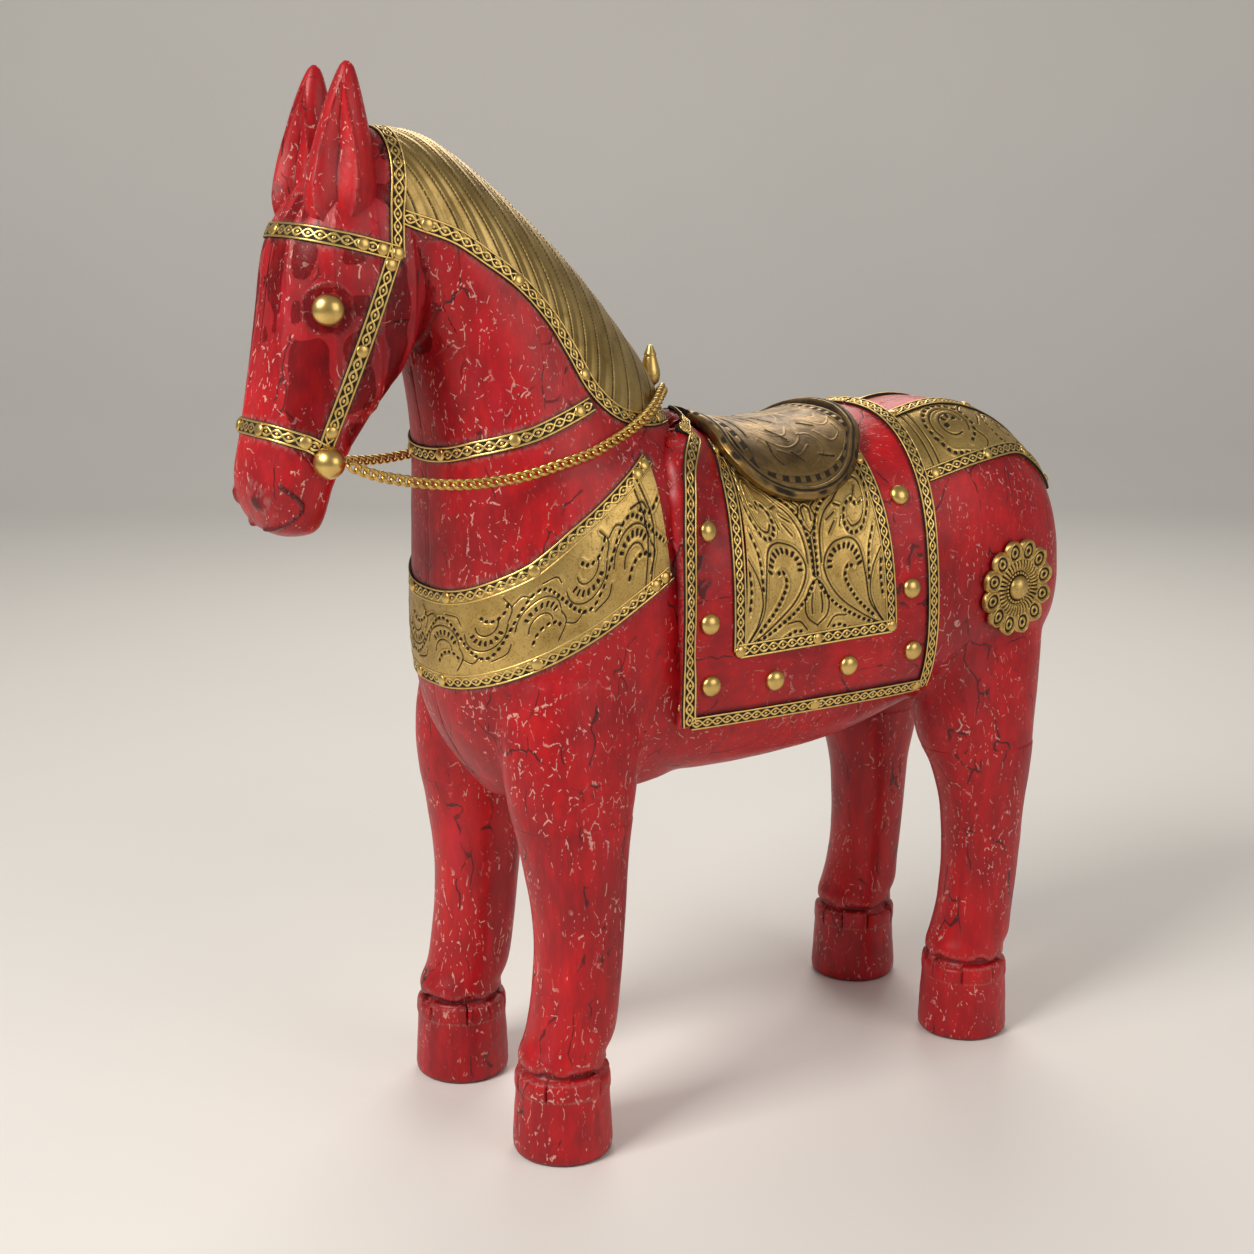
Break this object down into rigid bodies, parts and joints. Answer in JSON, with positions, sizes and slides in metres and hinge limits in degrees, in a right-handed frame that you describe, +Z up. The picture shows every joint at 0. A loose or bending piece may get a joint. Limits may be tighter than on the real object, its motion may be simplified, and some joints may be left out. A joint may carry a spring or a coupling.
{
  "type": "carved wooden horse figure",
  "caption": "Free-standing carved and painted wooden horse with brass sheet harness, brass-trimmed saddle, studs and chain reins; a decorative figure.",
  "frame": {"origin": "centre of the bounding box's base, on the ground between the four hooves", "axes": "+Z up; the horse faces -Y; +X is the horse's own left side, with X = 0 the plane that splits the horse down its middle"},
  "size_m": [0.1832, 0.5594, 0.6],
  "materials": {
    "red_paint_on_wood": "worn semi-gloss red paint over carved wood",
    "plain_wood": "bare, sanded",
    "sheet_brass": "embossed sheet, dark patina in the lows, rubbed highs",
    "cast_brass": "turned or cast, polished",
    "chain_brass": "darkened curb chain"
  },
  "bodies": {
    "horse": {"bit_knob_left": "cast_brass", "bit_knob_right": "cast_brass", "body_left": "red_paint_on_wood", "body_right": "red_paint_on_wood", "breast_border_lower": "sheet_brass", "breast_border_upper": "sheet_brass", "breast_plate": "sheet_brass", "brow_band": "sheet_brass", "cheek_strap_left": "sheet_brass", "cheek_strap_right": "sheet_brass", "chest_dowel": "plain_wood", "cloth_border_left": "sheet_brass", "cloth_border_right": "sheet_brass", "crown_strap": "sheet_brass", "crupper_plate_left": "sheet_brass", "crupper_plate_right": "sheet_brass", "ear_left": "red_paint_on_wood", "ear_right": "red_paint_on_wood", "eye_left": "cast_brass", "eye_right": "cast_brass", "flap_frame_left": "sheet_brass", "flap_frame_right": "sheet_brass", "flap_plate_left": "sheet_brass", "flap_plate_right": "sheet_brass", "front_leg_dowel_left": "plain_wood", "front_leg_dowel_right": "plain_wood", "front_leg_left": "red_paint_on_wood", "front_leg_right": "red_paint_on_wood", "head": "red_paint_on_wood", "head_dowel": "plain_wood", "hind_leg_dowel_left": "plain_wood", "hind_leg_dowel_right": "plain_wood", "hind_leg_left": "red_paint_on_wood", "hind_leg_right": "red_paint_on_wood", "mane_border_left": "sheet_brass", "mane_border_right": "sheet_brass", "mane_plate": "sheet_brass", "neck_band": "sheet_brass", "nose_band": "sheet_brass", "rein_post": "cast_brass", "rosette_left": "sheet_brass", "rosette_right": "sheet_brass", "rump_dowel": "plain_wood", "saddle_cloth_left": "red_paint_on_wood", "saddle_cloth_right": "red_paint_on_wood", "saddle_seat": "sheet_brass", "saddle_stud_left_1": "cast_brass", "saddle_stud_left_2": "cast_brass", "saddle_stud_left_3": "cast_brass", "saddle_stud_left_4": "cast_brass", "saddle_stud_right_1": "cast_brass", "saddle_stud_right_2": "cast_brass", "saddle_stud_right_3": "cast_brass", "saddle_stud_right_4": "cast_brass", "seat_pad": "red_paint_on_wood", "seat_rim": "cast_brass", "tail": "red_paint_on_wood"},
    "left_rein": {"rein_chain_left": "chain_brass"},
    "right_rein": {"rein_chain_right": "chain_brass"}
  },
  "joints": [
    {"name": "rein_left", "type": "hinge", "parent": "horse", "child": "left_rein", "pos_m": [0.0462, -0.24, 0.3998], "axis": [0.1813, -0.978, -0.1031], "range_deg": [0, 32]},
    {"name": "rein_right", "type": "hinge", "parent": "horse", "child": "right_rein", "pos_m": [-0.0462, -0.24, 0.3998], "axis": [0.1813, 0.978, 0.1031], "range_deg": [0, 32]}
  ]
}
